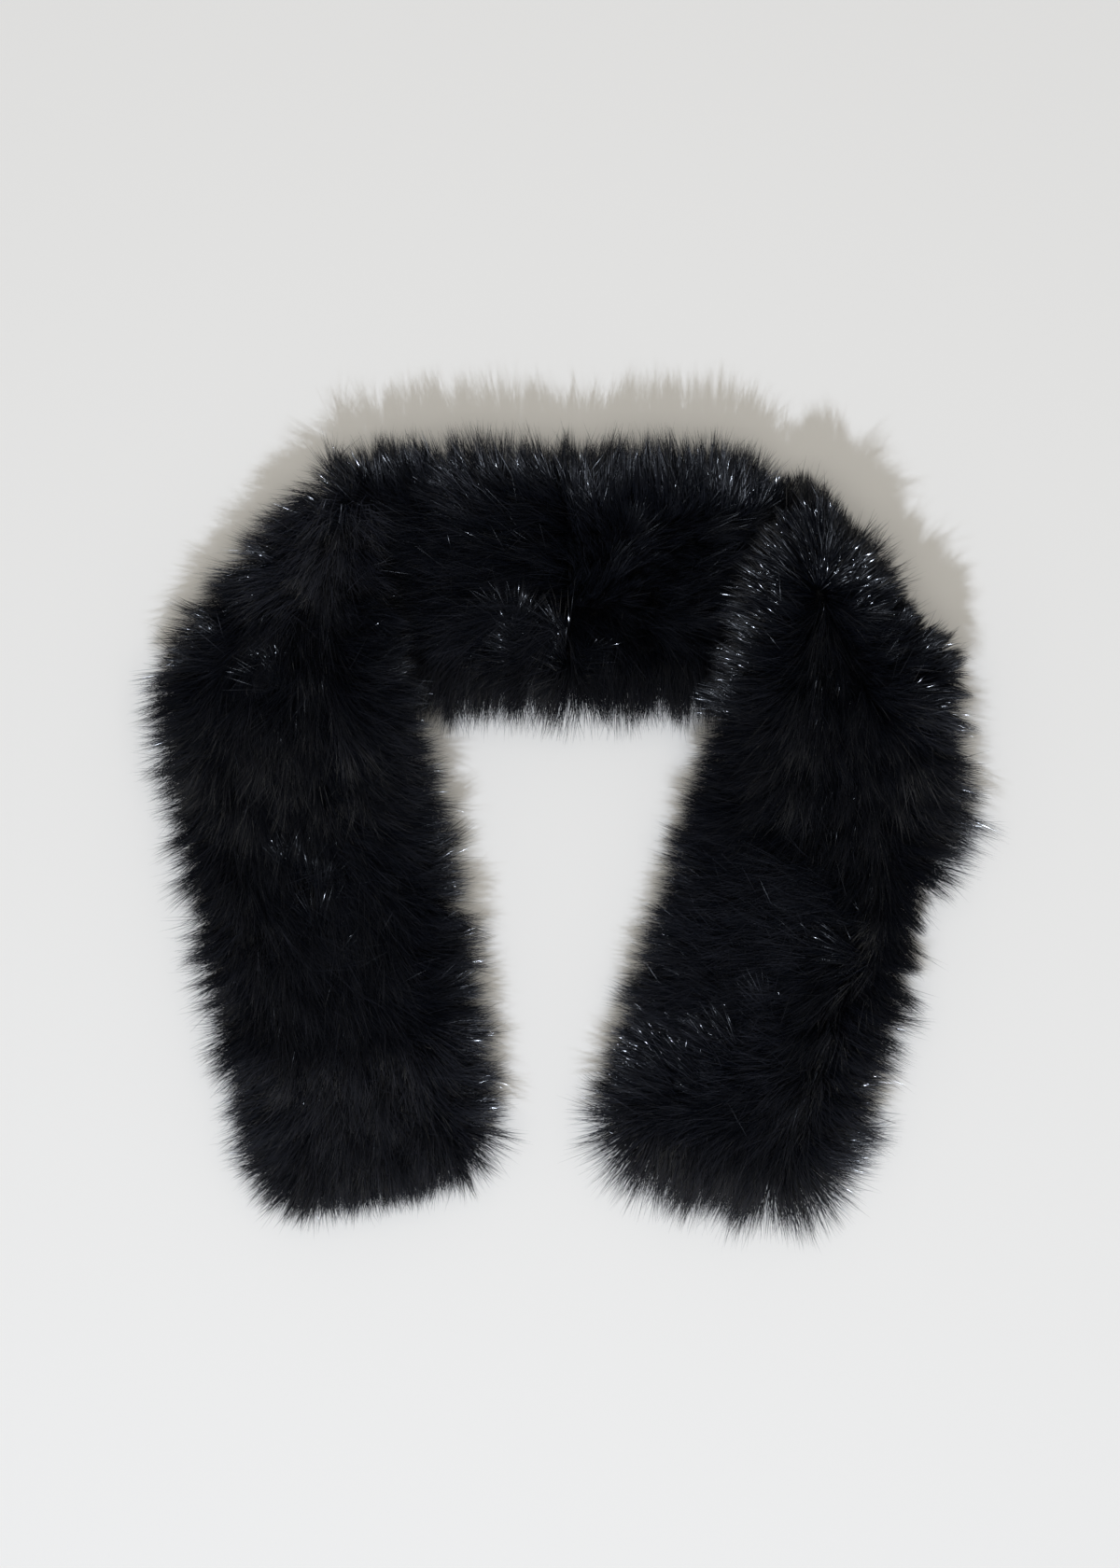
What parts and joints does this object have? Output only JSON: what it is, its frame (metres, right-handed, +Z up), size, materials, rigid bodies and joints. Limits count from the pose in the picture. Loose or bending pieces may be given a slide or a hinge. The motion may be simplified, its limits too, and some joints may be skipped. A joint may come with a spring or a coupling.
{
  "type": "fur collar wrap",
  "caption": "Long straight collar of black fur, furred on both sides, lying in a horseshoe with its fronts folded over the back at slanted corners.",
  "frame": {"origin": "on the table, under the middle of the wrap's box as it lies", "axes": "+X along the back of the collar to the right front, +Y from the ends of the fronts to the back, +Z up from the table"},
  "size_m": [0.4038, 0.3826, 0.0519],
  "materials": {
    "black_fur": "long glossy pile"
  },
  "bodies": {
    "root": {"face_left": "black_fur", "face_right": "black_fur", "reverse_left": "black_fur", "reverse_right": "black_fur"}
  },
  "joints": []
}
